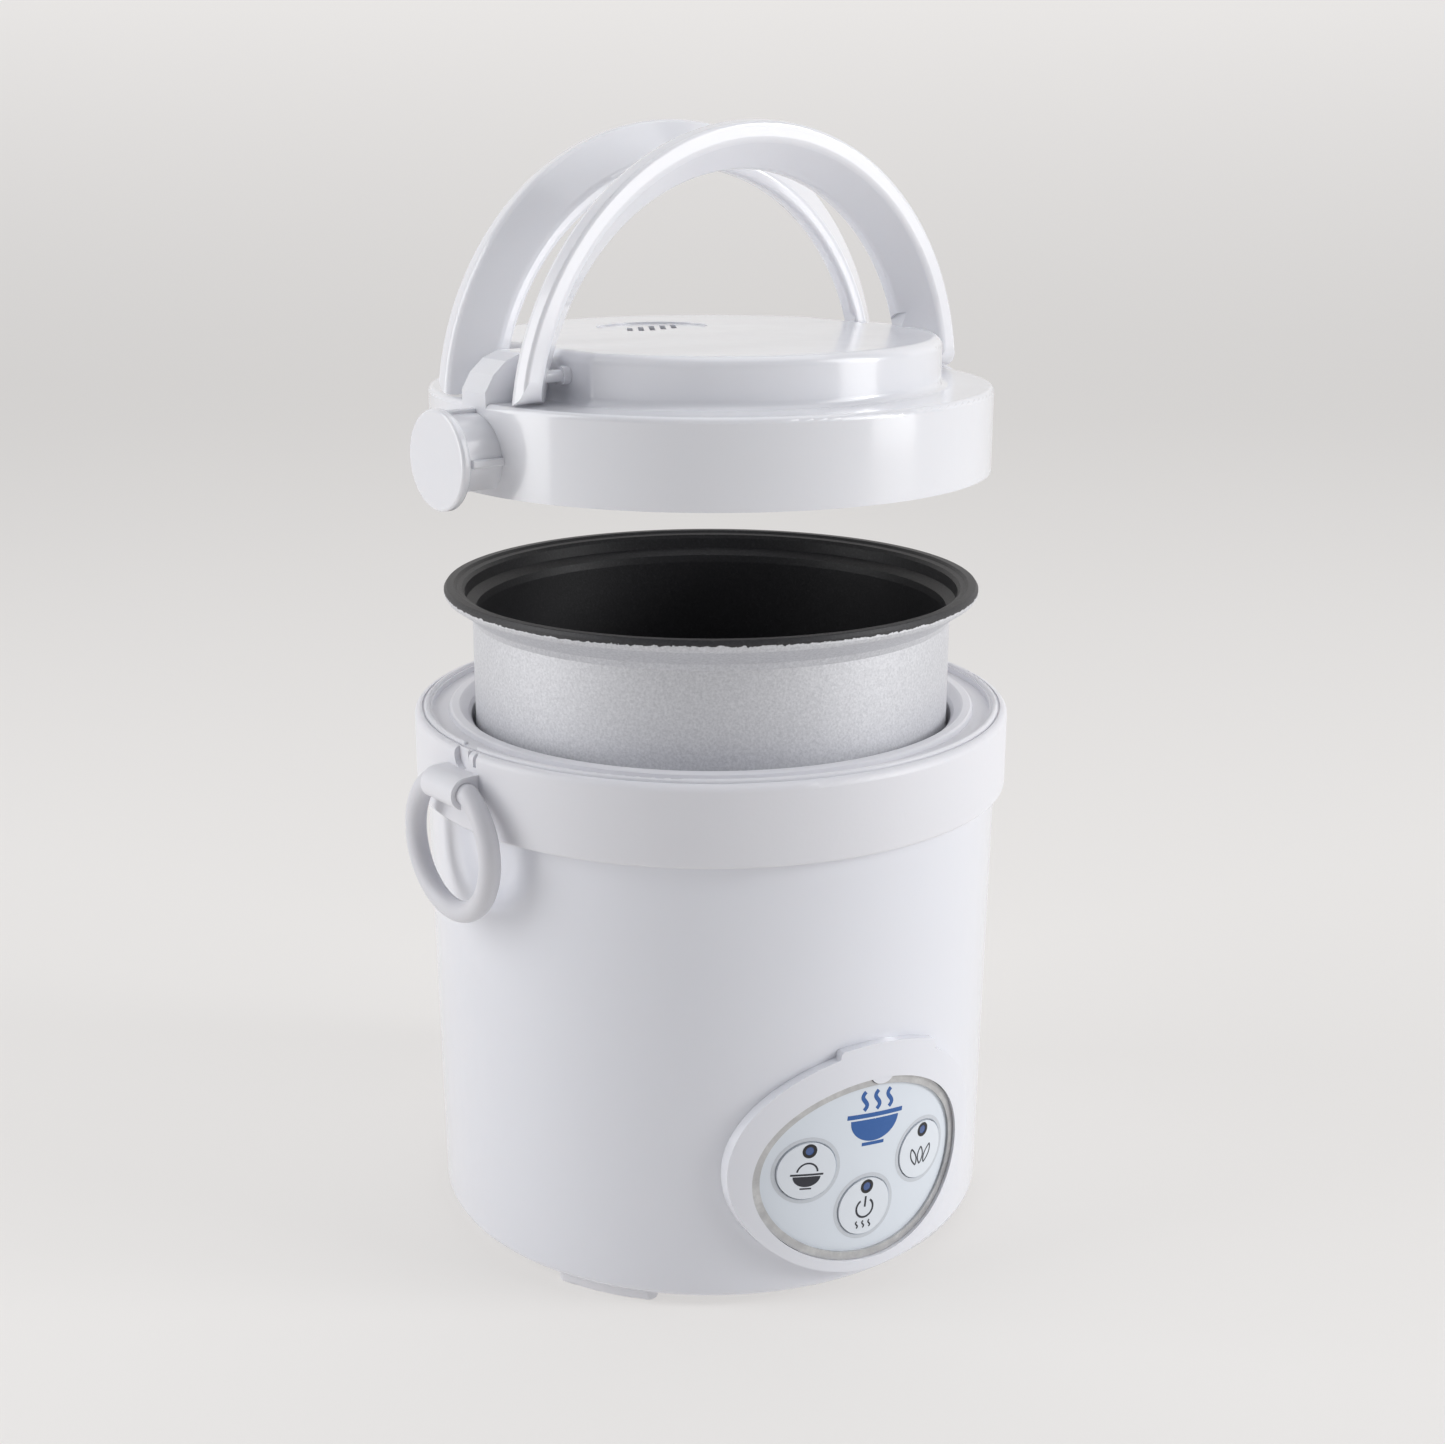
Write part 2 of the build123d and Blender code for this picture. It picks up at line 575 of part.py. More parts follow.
def bezel_outline():
    """Oval set a little above the opening, with a low hood over its middle."""
    a = PANEL_A + BEZEL_RIM
    b = PANEL_B + BEZEL_RIM - 0.4
    middle = Pos(0, BEZEL_RISE)
    hood = (middle * Ellipse(a + 6.0, b + 1.5)) & (Pos(2.5, b) * Rectangle(31, 30))
    outline = middle * Ellipse(a, b) + hood

    def off_oval(vertex):
        return abs((vertex.X / a) ** 2 + ((vertex.Y - BEZEL_RISE) / b) ** 2 - 1)

    peaks = [v for v in outline.vertices() if v.Y > b * 0.7]
    tops = [v for v in peaks if off_oval(v) > 0.02]
    places = [Vector(v.X, v.Y, 0) for v in peaks if off_oval(v) <= 0.02]
    outline = safe_fillet(outline, tops, 1.1)
    corners = [v for v in outline.vertices()
               if any((Vector(v.X, v.Y, 0) - p).length < 0.1 for p in places)]
    return safe_fillet(outline, corners, 0.7)


def panel_tooth(grow=0.0):
    """Small tab at the top of the bezel's opening."""
    place = Pos(0.4, PANEL_B + 0.6, 0) * Ellipse(3.4 + grow, 2.4 + grow)
    return panel_plane(BODY_R_LOW - 15) * extrude(place, 40)


def make_bezel():
    """Oval frame with a hood over its top, proud of the shell."""
    blank = panel_plane(BODY_R_LOW - 24) * extrude(bezel_outline(), 50)
    bezel = blank & ring(BEZEL_R, 0, B0 + 0.6, B0 + 90)
    bezel -= body_cone()
    bezel -= panel_column(PANEL_A, PANEL_B, BODY_R_LOW - 34, BODY_R_LOW + 16)
    bezel += (panel_tooth() & ring(BEZEL_R - 0.4, 0, B0, B0 + 90)) - body_cone()
    rim_edges = [e for e in bezel.edges() if e.length > 4 and outer_edge(e)]
    return safe_fillet(bezel, rim_edges, 1.3)


def outer_edge(edge):
    point = edge @ 0.5
    return sqrt(point.X ** 2 + point.Y ** 2) > BEZEL_R - 0.05


def make_panel_ring():
    """Bright ring inside the bezel, lying on the overlay's margin."""
    near = BODY_R_LOW - 24
    band = panel_column(PANEL_A - SNUG, PANEL_B - SNUG, near, near + 40)
    band -= panel_column(PANEL_A - 2.2, PANEL_B - 2.2, near - 10, near + 45)
    band = (band & ring(OVERLAY_R + 0.7, 0, B0, B0 + 90)) - ring(OVERLAY_R, 0, 0, B0 + 91)
    return band - panel_tooth(0.2)


def make_overlay():
    near = BODY_R_LOW - 24
    plate = panel_column(PANEL_A - 2 * SNUG, PANEL_B - 2 * SNUG, near, near + 40)
    plate = (plate & ring(OVERLAY_R, 0, B0, B0 + 90)) - body_cone()
    inner = panel_column(PANEL_A - 2.2, PANEL_B - 2.2, near, near + 40)
    inner = inner & ring(OVERLAY_R - 0.02, OVERLAY_R - 3.1, B0, B0 + 90)
    plate = plate + inner - panel_tooth(0.2)
    for place in button_places().values():
        plate -= panel_rod(place, BUTTON_R + 0.35, near, near + 45)
    return plate


def make_button(place):
    """Key cap with a flange behind the overlay and a stem that meets its switch."""
    cap = panel_rod(place, BUTTON_R, CAP_FLANGE_D, OVERLAY_R + 14) & ring(OVERLAY_R + 0.35, 0, B0, B0 + 90)
    cap += panel_rod(place, BUTTON_R + 0.9, CAP_FLANGE_D - 1.2, CAP_FLANGE_D)
    cap += panel_rod(place, 1.8, STEM_TIP_D, CAP_FLANGE_D)
    led = (place[0], place[1] + LED_ABOVE)
    return cap - panel_rod(led, LED_R, CAP_FLANGE_D - 3, OVERLAY_R + 14)


def make_led_window(place):
    led = (place[0], place[1] + LED_ABOVE)
    return panel_rod(led, LED_R, CAP_FLANGE_D + 1, OVERLAY_R + 14) & ring(OVERLAY_R + 0.3, 0, B0, B0 + 90)


def make_tact_switch(place):
    start = CONTROL_BOARD_D + BOARD_THICK
    base = panel_plane(start) * Pos(place[0], place[1], 0) * extrude(RectangleRounded(6, 6, 0.5), 3)
    return base + panel_rod(place, 1.7, start, start + 4.0)


def make_board_led(place):
    start = CONTROL_BOARD_D + BOARD_THICK
    led = (place[0], place[1] + LED_ABOVE)
    return panel_rod(led, 1.3, start, start + 3.0)


def make_inlet():
    """Mains socket let into the back, open towards the outside."""
    flange = inlet_plane(INLET_FACE) * extrude(RectangleRounded(INLET_W + 11, INLET_H + 7, 4), 1.6)
    housing = inlet_plane(INLET_FACE - 19) * extrude(RectangleRounded(INLET_W, INLET_H, 2), 19.1)
    socket = inlet_plane(INLET_FACE - 15.5) * extrude(RectangleRounded(INLET_W - 4, INLET_H - 4, 3), 20)
    body = flange + housing - socket
    for side in (-1, 1):
        at = side * (INLET_W / 2 + 3.2)
        body -= radial_rod(BACK_AZIMUTH, BODY_R_LOW - 5, BODY_R_LOW + 8, 1.3, B0 + INLET_Z, at)
    for pin in inlet_pins():
        body -= inlet_plane(INLET_FACE - 26) * Pos(pin[0], pin[1], 0) * extrude(Rectangle(4, 2), 14)
    return body


def inlet_pins():
    return ((-7, -1.5), (7, -1.5), (0, 2.5))


def make_inlet_pin(pin):
    blade = inlet_plane(INLET_FACE - 26) * Pos(pin[0], pin[1], 0) * extrude(Rectangle(3.9, 1.9), 22)
    return blade


def make_inlet_screw(side):
    at = side * (INLET_W / 2 + 3.2)
    face = INLET_FACE + 1.6
    shaft = radial_rod(BACK_AZIMUTH, face - 6, face, 1.05, B0 + INLET_Z, at)
    head = radial_rod(BACK_AZIMUTH, face, face + 1.3, 2.2, B0 + INLET_Z, at)
    slot = inlet_plane(face + 1.3) * Pos(at, 0, 0) * Box(3.4, 0.6, 1.2)
    return head + shaft - slot


# ---------------------------------------------------------------- lid
def make_crown(radius, flat, low, high):
    """Disc cut flat at both ends of the latch plane."""
    disc = ring(radius, 0, low, high)
    keep = Rot(0, 0, LATCH_AZIMUTH) * Pos(0, 0, (low + high) / 2) * Box(
        2 * flat, 3 * radius, high - low + 2)
    return disc & keep


EAR_HALF = 5.0
VENT_OFFSET = 25.0
VENT_A = 15.5
VENT_B = 13.0


def vent_plane(z):
    side = Vector(sin(radians(LATCH_AZIMUTH)), -cos(radians(LATCH_AZIMUTH)), 0)
    return Plane(origin=side * VENT_OFFSET + Vector(0, 0, z), x_dir=direction(LATCH_AZIMUTH),
                 z_dir=(0, 0, 1))


def make_ear(azimuth):
    """Upright web between the crown and the skirt, with a rounded outer corner."""
    low = LEDGE_Z - 2.0
    top = CROWN_Z - 0.8
    inner = CROWN_FLAT - 1.5
    bend = 10.5
    profile = make_face(Polyline((inner, low), (LID_R + 1, low), (LID_R + 1, top - bend),
                                 (LID_R - 0.2, top - bend + 2.0), (LID_R - 2.6, top - 4.6),
                                 (LID_R - 6.2, top - 1.6), (LID_R - 10.5, top), (inner, top),
                                 close=True))
    plane = Plane(origin=(0, 0, 0), x_dir=direction(azimuth),
                  z_dir=Vector(sin(radians(azimuth)), -cos(radians(azimuth)), 0))
    web = plane * Pos(0, 0, -EAR_HALF) * extrude(profile, 2 * EAR_HALF)
    return web & ring(LID_R, 0, low, top + 1)


def make_lid_cover():
    skin = ring(LID_R, 0, LID_Z, LEDGE_Z)
    skin = safe_fillet(skin, skin.edges().group_by(Axis.Z)[-1], 1.4)
    crown = make_crown(CROWN_R, CROWN_FLAT, LEDGE_Z - 1, CROWN_Z)
    crown = safe_fillet(crown, crown.edges().filter_by(Axis.Z), 3.0)
    crown = safe_fillet(crown, crown.edges().group_by(Axis.Z)[-1], 2.6)
    skin += crown
    root = [e for e in skin.edges() if abs((e @ 0.5).Z - LEDGE_Z) < 0.05
            and sqrt((e @ 0.5).X ** 2 + (e @ 0.5).Y ** 2) < CROWN_R + 1]
    skin = safe_fillet(skin, root, 2.0)
    for half in (0, 180):
        skin += make_ear(LATCH_AZIMUTH + half)
    hollow = ring(LID_R - LID_WALL, 0, LID_Z - 1, LEDGE_Z - 2.0)
    hollow += make_crown(CROWN_R - 2.2, CROWN_FLAT - 2.4, LEDGE_Z - 3, CROWN_Z - 2.2)
    skin -= hollow
    # shallow oval well for the steam vent, with a hole through
    skin -= vent_plane(CROWN_Z - 1.4) * extrude(Ellipse(VENT_A, VENT_B), 5)
    skin -= vent_plane(CROWN_Z - 5) * extrude(Ellipse(VENT_A - 4, VENT_B - 4), 8)
    for half in (0, 180):
        azimuth = LATCH_AZIMUTH + half
        for side in (-1, 1):
            skin -= radial_rod(azimuth, CROWN_FLAT - 14, CROWN_FLAT + 3, PIN_R, PIVOT_Z,
                               side * PIVOT_OFFSET)
            skin -= radial_rod(azimuth, CROWN_FLAT - 8, CROWN_FLAT - 1.0, PIN_SHOULDER_R, PIVOT_Z,
                               side * PIVOT_OFFSET)
        skin -= radial_rod(azimuth, CROWN_FLAT - 14, CROWN_FLAT + 3, 0.8, LEDGE_Z + 4.6, PIVOT_OFFSET - 4.4)
        skin -= radial_rod(azimuth, LID_R - 6, LID_R + 3, 1.6, KNOB_Z)
    for azimuth in lid_screw_azimuths():
        skin += peg(azimuth, 40, 4.0, INNER_SHELL_TOP, CROWN_Z - 2.1)
        skin -= peg(azimuth, 40, 1.2, INNER_SHELL_TOP - 1, INNER_SHELL_TOP + 14)
    return skin


GASKET_LOW = RIM_SEAT_Z + GAP + LID_LIFT
GASKET_TOP = GASKET_LOW + 2.0
LID_PLATE_TOP = GASKET_TOP + 0.8
INNER_SHELL_TOP = LID_PLATE_TOP + 2.0


def lid_screw_azimuths():
    return tuple(LATCH_AZIMUTH + 90 + step * 120 + 30 for step in range(3))


def make_gasket():
    """Soft ring that meets the pot's rim."""
    low = GASKET_LOW
    top = GASKET_TOP
    out = LID_R - LID_WALL - 2.0
    return lathe([(out - 6.0, low + 1.0), (out - 5.2, low), (out - 0.8, low), (out, low + 0.8),
                  (out, top), (out - 6.0, top)])


def make_lid_plate():
    """Aluminium inner lid with a pressed rib and steam holes."""
    out = LID_R - LID_WALL - 2.2
    low = GASKET_TOP
    plate = lathe([(0, low - 1.2), (out - 13, low - 1.2), (out - 11, low), (out, low),
                   (out, LID_PLATE_TOP), (out - 11.2, LID_PLATE_TOP), (out - 13.2, LID_PLATE_TOP - 1.2),
                   (0, LID_PLATE_TOP - 1.2)])
    for step in range(8):
        plate -= vent_plane(low - 3) * Pos(6 * cos(step * pi / 4), 6 * sin(step * pi / 4), 0) * extrude(
            Circle(1.0), 8)
    for azimuth in lid_screw_azimuths():
        plate -= peg(azimuth, 40, 1.7, low - 3, LID_PLATE_TOP + 3)
    return plate


def make_lid_inner_shell():
    """Plastic tray between the plate and the cover; its chimney leads to the vent."""
    low = LID_PLATE_TOP
    out = LID_R - 5.8
    tray = lathe([(0, low), (out, low), (out, INNER_SHELL_TOP), (0, INNER_SHELL_TOP)])
    chimney = vent_plane(low) * extrude(Ellipse(VENT_A - 5.2, VENT_B - 5.2), CROWN_Z - 4.2 - low)
    bore = vent_plane(low - 1) * extrude(Ellipse(VENT_A - 6.6, VENT_B - 6.6), 60)
    tray = tray + chimney - bore
    for azimuth in lid_screw_azimuths():
        tray -= peg(azimuth, 40, 1.7, low - 3, INNER_SHELL_TOP + 3)
    return tray


def make_steam_vent():
    """Oval insert with slanting slats over the steam hole."""
    insert = vent_plane(CROWN_Z - 1.4) * extrude(Ellipse(VENT_A - SNUG, VENT_B - SNUG), 0.9)
    insert += vent_plane(CROWN_Z - 3.6) * extrude(Ellipse(VENT_A - 4 - SNUG, VENT_B - 4 - SNUG), 2.3)
    insert -= vent_plane(CROWN_Z - 6) * extrude(Ellipse(VENT_A - 5.6, VENT_B - 5.6), 4.2)
    for step in range(-2, 3):
        cut = vent_plane(CROWN_Z - 2.6) * Pos(step * 3.6, 0, 0) * Rot(0, 0, 55)
        reach = 13.0 - 1.6 * abs(step)
        insert -= cut * Box(reach, 1.5, 12)
    return insert


def make_knob(azimuth):
    """Round latch knob on the skirt: barrel with four ribs and a broad disc."""
    start = LID_R - 1.5
    disc_low = KNOB_REACH - KNOB_DISC
    barrel = facing(azimuth, start, KNOB_Z) * extrude(Circle(KNOB_BARREL_R), disc_low - start + 0.2)
    for step in range(4):
        rib = facing(azimuth, start, KNOB_Z) * Rot(0, 0, step * 90) * Pos(KNOB_BARREL_R, 0, 0)
        barrel += rib * extrude(RectangleRounded(1.8, 2.0, 0.5), disc_low - start - 0.9)
    floor = LID_Z + RECESS_DEPTH + 2 * GAP
    barrel -= Pos(0, 0, floor - 10) * Box(300, 300, 20)
    barrel -= ring(LID_R, 0, LID_Z - 5, LEDGE_Z)
    disc = facing(azimuth, disc_low, KNOB_Z) * extrude(Circle(KNOB_R), KNOB_DISC)
    disc = safe_fillet(disc, disc.edges(), 0.8)
    knob = barrel + disc
    return knob - radial_rod(azimuth, LID_R - 3.3, KNOB_REACH - 2.3, 1.32, KNOB_Z)


def make_knob_screw(azimuth):
    seat = LID_R - LID_WALL
    head = radial_rod(azimuth, seat - 1.3, seat - 0.12, 2.0, KNOB_Z)
    return head + radial_rod(azimuth, seat - 0.3, KNOB_REACH - 3.1, 1.2, KNOB_Z)


def make_handle_pin(azimuth, side):
    """Pin through the crown's flat; its shoulder spaces the handle."""
    rod = radial_rod(azimuth, CROWN_FLAT - 3.6, CROWN_FLAT + 11.5, PIN_R, PIVOT_Z, side * PIVOT_OFFSET)
    rod += radial_rod(azimuth, CROWN_FLAT + 0.05, CROWN_FLAT + 2.0, 2.2, PIVOT_Z, side * PIVOT_OFFSET)
    return rod + radial_rod(azimuth, CROWN_FLAT - 4.6, CROWN_FLAT - 2.5, 2.3, PIVOT_Z,
                            side * PIVOT_OFFSET)


def handle_section():
    """Slanting band, crisp at the corner that faces out and down when folded."""
    corners = [(5.9, 5.9), (6.4, 1.5), (-2.0, -6.3), (-5.7, -6.2), (-5.7, -2.0), (1.5, 5.9)]
    outline = make_face(Polyline(*corners, close=True))
    radii = {0: 0.9, 1: 2.4, 2: 2.2, 3: 1.4, 4: 2.4, 5: 2.2}
    for index, radius in radii.items():
        target = Vector(*corners[index], 0)
        corner = outline.vertices().sort_by(lambda v: (Vector(v.X, v.Y, 0) - target).length)[0]
        outline = fillet([corner], radius)
    return outline


def make_handle(side, lean):
    """Half-ring that turns about two pins on one side of the latch plane.

    side is +1 for the handle nearer the panel; local x runs along the pins, y away from the
    other handle and z up from the pivot.
    """
    drop = asin((PIVOT_OFFSET - HANDLE_END - 1) / HANDLE_R)
    section = Plane.XY * Pos(HANDLE_R, 0) * handle_section()
    arc = revolve(section, Axis((0, 0, 0), (0, -1, 0)), 180 - 2 * degrees(drop))
    arc = Rot(0, -degrees(drop), 0) * arc
    arc = Pos(0, 0, -PIVOT_OFFSET) * arc
    keep = Pos(0, 0, 50) * Box(200, 40, 100)
    keep += Rot(0, 90, 0) * Cylinder(HANDLE_END, 200)
    arc = arc & keep
    for end in (-1, 1):
        start = CROWN_FLAT + 2.0 + GAP
        bore = Plane(origin=(end * start, 0, 0), z_dir=(end, 0, 0))
        reach = CROWN_FLAT + 12.0 - start
        arc -= Plane(origin=(end * (start - 4), 0, 0), z_dir=(end, 0, 0)) * extrude(
            Circle(PIN_R + RUNNING), reach + 4)
        # flat cheek that faces the crown, and rounded outer end inside the skirt's edge
        arc -= bore * Pos(0, 0, -20) * extrude(Circle(HANDLE_END + 3), 20)
    arc = Rot(-lean * 1.0, 0, 0) * arc
    x_dir = direction(LATCH_AZIMUTH)
    y_dir = Vector(-sin(radians(LATCH_AZIMUTH)), cos(radians(LATCH_AZIMUTH)), 0)
    if side < 0:
        x_dir = -x_dir
        y_dir = -y_dir
    plane = Plane(origin=y_dir * PIVOT_OFFSET + Vector(0, 0, PIVOT_Z), x_dir=x_dir,
                  z_dir=(0, 0, 1))
    return plane * arc


# ---------------------------------------------------------------- wires inside
def make_wires():
    """Leads inside the base, each clear of everything else."""
    pin_out = direction(BACK_AZIMUTH)
    side = Vector(-sin(radians(BACK_AZIMUTH)), cos(radians(BACK_AZIMUTH)), 0)
    out = {}
    for name, pin, end in (("mains_lead_live", inlet_pins()[0], (0.5, 20)),
                           ("mains_lead_neutral", inlet_pins()[1], (-25.5, 13))):
        start = pin_out * (INLET_FACE - 26.1) + side * pin[0] + Vector(0, 0, B0 + INLET_Z + pin[1])
        first = start - pin_out * 7
        top = POWER_BOARD_Z + BOARD_THICK + 0.05
        goal = Vector(end[0], end[1], top)
        above = goal + Vector(0, 0, 9)
        out[name] = wire([tuple(start), tuple(first), tuple(above), tuple(goal)], 1.1)
    return out


def make_ribbon():
    """Flat lead from the control board down to the power board."""
    out = direction(PANEL_AZIMUTH)
    start = out * (CONTROL_BOARD_D - 0.05) + Vector(0, 0, B0 + 17)
    bend = out * (CONTROL_BOARD_D - 9) + Vector(0, 0, B0 + 17)
    goal = Vector(26, -11, POWER_BOARD_Z + BOARD_THICK + 0.05)
    above = goal + Vector(0, 0, 8)
    return wire([tuple(start), tuple(bend), tuple(above), tuple(goal)], 1.3)


def main():
    os.makedirs("parts", exist_ok=True)
    save("body_shell", make_body_shell())
    save("collar", make_collar())
    for name, half in (("left", 0), ("right", 180)):
        azimuth = LATCH_AZIMUTH + half
        save(f"ring_hanger_{name}", make_hanger(azimuth))
        save(f"latch_ring_{name}", make_latch_ring(azimuth))
        save(f"latch_knob_{name}", make_knob(azimuth))
    save("base_plate", make_base_plate())
    save("feet", *[make_foot(azimuth) for azimuth in FOOT_AZIMUTHS])
    save("base_screws", *[screw(a, BASE_SCREW_R, B0 + 0.9, 11, 1.25) for a in SCREW_AZIMUTHS])
    save("inner_liner", make_liner())
    save("liner_screws", *[screw(a, LINER_R + 4.2, NECK_LOW - LINER_WALL, 6, 1.0)
                           for a in LINER_SCREW_AZIMUTHS])
    save("heating_plate", make_heating_plate())
    save("heater_element", make_element())
    save("plate_standoffs", *[make_standoff(a) for a in plate_azimuths()])
    save("plate_screws", *[screw(a, PLATE_FIXING_R, LINER_FLOOR - LINER_WALL, 9, 1.55)
                           for a in plate_azimuths()])
    save("sensor_cap", make_sensor_cap())
    save("sensor_stem", make_sensor_stem())
    save("sensor_guide", make_sensor_guide())
    save("sensor_spring", make_sensor_spring())
    save("thermal_fuse", make_fuse())
    save("fuse_clip", make_fuse_clip())
    save("power_board", make_power_board())
    save("power_board_screws", *[screw_down(x, y) for x, y in power_board_posts()])
    save("relay", on_board(12, 6, 15, 19, 15))
    save("transformer", make_transformer())
    save("capacitors", *make_capacitors())
    save("control_board", make_control_board())
    places = button_places()
    save("key_switches", *[make_tact_switch(p) for p in places.values()])
    save("indicator_lamps", *[make_board_led(p) for p in places.values()])
    for name, place in places.items():
        save(f"button_{name}", make_button(place))
        save(f"window_{name}", make_led_window(place))
    save("panel_bezel", make_bezel())
    save("panel_ring", make_panel_ring())
    save("panel_overlay", make_overlay())
    save("power_inlet", make_inlet())
    save("inlet_pins", *[make_inlet_pin(p) for p in inlet_pins()])
    save("inlet_screws", *[make_inlet_screw(side) for side in (-1, 1)])
    for name, lead in make_wires().items():
        save(name, lead)
    save("ribbon_lead", make_ribbon())
    save("inner_pot", make_pot())
    save("lid_cover", make_lid_cover())
    save("lid_inner_shell", make_lid_inner_shell())
    save("lid_plate", make_lid_plate())
    save("lid_gasket", make_gasket())
    save("lid_screws", *[screw(a, 40, GASKET_TOP - 1.25, 13, 1.15) for a in lid_screw_azimuths()])
    save("steam_vent", make_steam_vent())
    save("knob_screws", *[make_knob_screw(LATCH_AZIMUTH + half) for half in (0, 180)])
    save("handle_pins", *[make_handle_pin(LATCH_AZIMUTH + half, side)
                          for half in (0, 180) for side in (-1, 1)])
    save("handle_front", make_handle(1, HANDLE_LEAN_FRONT))
    save("handle_back", make_handle(-1, HANDLE_LEAN_BACK))


def screw_down(x, y):
    """Small screw through the power board into its post."""
    top = POWER_BOARD_Z + BOARD_THICK
    head = Pos(x, y, top + 0.6) * Cylinder(2.0, 1.2) - Pos(x, y, top + 1.2) * Box(3, 0.5, 1.0)
    return head + Pos(x, y, top - 1.9) * Cylinder(0.9, 3.8)


main()
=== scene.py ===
"""Looks for the carry-along rice cooker: materials, printed marks, floor, light and camera."""
from math import cos, pi, radians, sin, sqrt

import bmesh
import bpy
from mathutils import Matrix, Vector


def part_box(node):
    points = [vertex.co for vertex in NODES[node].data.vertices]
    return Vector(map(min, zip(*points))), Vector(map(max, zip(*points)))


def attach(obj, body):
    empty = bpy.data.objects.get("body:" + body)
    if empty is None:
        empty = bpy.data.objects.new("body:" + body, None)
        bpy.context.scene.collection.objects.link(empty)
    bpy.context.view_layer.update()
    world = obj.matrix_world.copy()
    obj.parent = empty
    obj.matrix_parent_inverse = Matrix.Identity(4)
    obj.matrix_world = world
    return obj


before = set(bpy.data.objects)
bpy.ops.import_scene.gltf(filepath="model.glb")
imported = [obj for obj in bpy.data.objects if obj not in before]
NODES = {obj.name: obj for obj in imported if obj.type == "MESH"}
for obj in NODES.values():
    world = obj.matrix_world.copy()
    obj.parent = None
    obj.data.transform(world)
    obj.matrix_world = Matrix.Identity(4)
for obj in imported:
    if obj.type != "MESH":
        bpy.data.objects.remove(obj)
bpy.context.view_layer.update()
SCENE = bpy.context.scene
MM = 0.001

# ---------------------------------------------------------------- sizes shared with the CAD
# Millimetres. Panel marks are placed by (u, v) from the middle of the panel's opening.
PANEL_AZIMUTH = radians(-58.6)
PANEL_TILT = radians(-6.0)
PANEL_Z = 34.1
OVERLAY_R = 76.0           # face of the panel's overlay, from the cooker's axis
CAP_R = 76.35              # face of the key caps
KEYS = {"left": (-17.6, 1.2), "right": (17.6, 1.2), "power": (0.0, -10.5)}
LED_ABOVE = 5.4            # each key's lamp window sits this far above the key's middle
KEY_HOLE_R = 7.95
POT_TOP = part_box("inner_pot")[1][2] / MM


# ---------------------------------------------------------------- node helpers
class Mat:
    """Small builder for a node material."""

    def __init__(self, name):
        self.mat = bpy.data.materials.new(name)
        self.mat.use_nodes = True
        self.tree = self.mat.node_tree
        self.shader = self.tree.nodes["Principled BSDF"]

    def add(self, kind, **props):
        node = self.tree.nodes.new(kind)
        for key, value in props.items():
            setattr(node, key, value)
        return node

    def link(self, source, target):
        self.tree.links.new(source, target)

    def put(self, target, value):
        """Set a socket to a value or join it to another socket."""
        if isinstance(value, bpy.types.NodeSocket):
            self.link(value, target)
        else:
            target.default_value = value

    def set(self, **values):
        for key, value in values.items():
            self.put(self.shader.inputs[key.replace("_", " ")], value)

    def math(self, op, a, b=0.0, c=None, clamp=False):
        node = self.add("ShaderNodeMath", operation=op, use_clamp=clamp)
        self.put(node.inputs[0], a)
        self.put(node.inputs[1], b)
        if c is not None:
            self.put(node.inputs[2], c)
        return node.outputs[0]

    def coords(self):
        return self.add("ShaderNodeTexCoord").outputs["Object"]

    def noise(self, scale, detail=2.0, rough=0.5, vector=None, stretch=None):
        place = vector or self.coords()
        if stretch:
            mapping = self.add("ShaderNodeMapping")
            self.link(place, mapping.inputs["Vector"])
            mapping.inputs["Scale"].default_value = stretch
            place = mapping.outputs["Vector"]
        node = self.add("ShaderNodeTexNoise")
        self.link(place, node.inputs["Vector"])
        node.inputs["Scale"].default_value = scale
        node.inputs["Detail"].default_value = detail
        node.inputs["Roughness"].default_value = rough
        return node.outputs["Fac"]

    def ramp(self, value, stops):
        node = self.add("ShaderNodeValToRGB")
        self.link(value, node.inputs["Fac"])
        ramp = node.color_ramp
        while len(ramp.elements) < len(stops):
            ramp.elements.new(0.5)
        for element, (where, colour) in zip(ramp.elements, stops):
            element.position = where
            element.color = (*colour, 1.0) if len(colour) == 3 else colour
        return node.outputs["Color"]

    def span(self, value, low, high):
        """Map 0..1 to low..high."""
        node = self.add("ShaderNodeMapRange")
        self.put(node.inputs["Value"], value)
        node.inputs["To Min"].default_value = low
        node.inputs["To Max"].default_value = high
        return node.outputs["Result"]

    def mix(self, factor, a, b):
        node = self.add("ShaderNodeMix", data_type="RGBA")
        self.put(node.inputs[0], factor)
        for socket, value in ((node.inputs[6], a), (node.inputs[7], b)):
            if not isinstance(value, bpy.types.NodeSocket) and len(value) == 3:
                value = (*value, 1.0)
            self.put(socket, value)
        return node.outputs[2]

    def bump(self, *layers):
        """Each layer is (height socket, depth in metres)."""
        normal = None
        for height, depth in layers:
            node = self.add("ShaderNodeBump")
            node.inputs["Strength"].default_value = 1.0
            node.inputs["Distance"].default_value = depth
            self.link(height, node.inputs["Height"])
            if normal:
                self.link(normal, node.inputs["Normal"])
            normal = node.outputs["Normal"]
        self.link(normal, self.shader.inputs["Normal"])


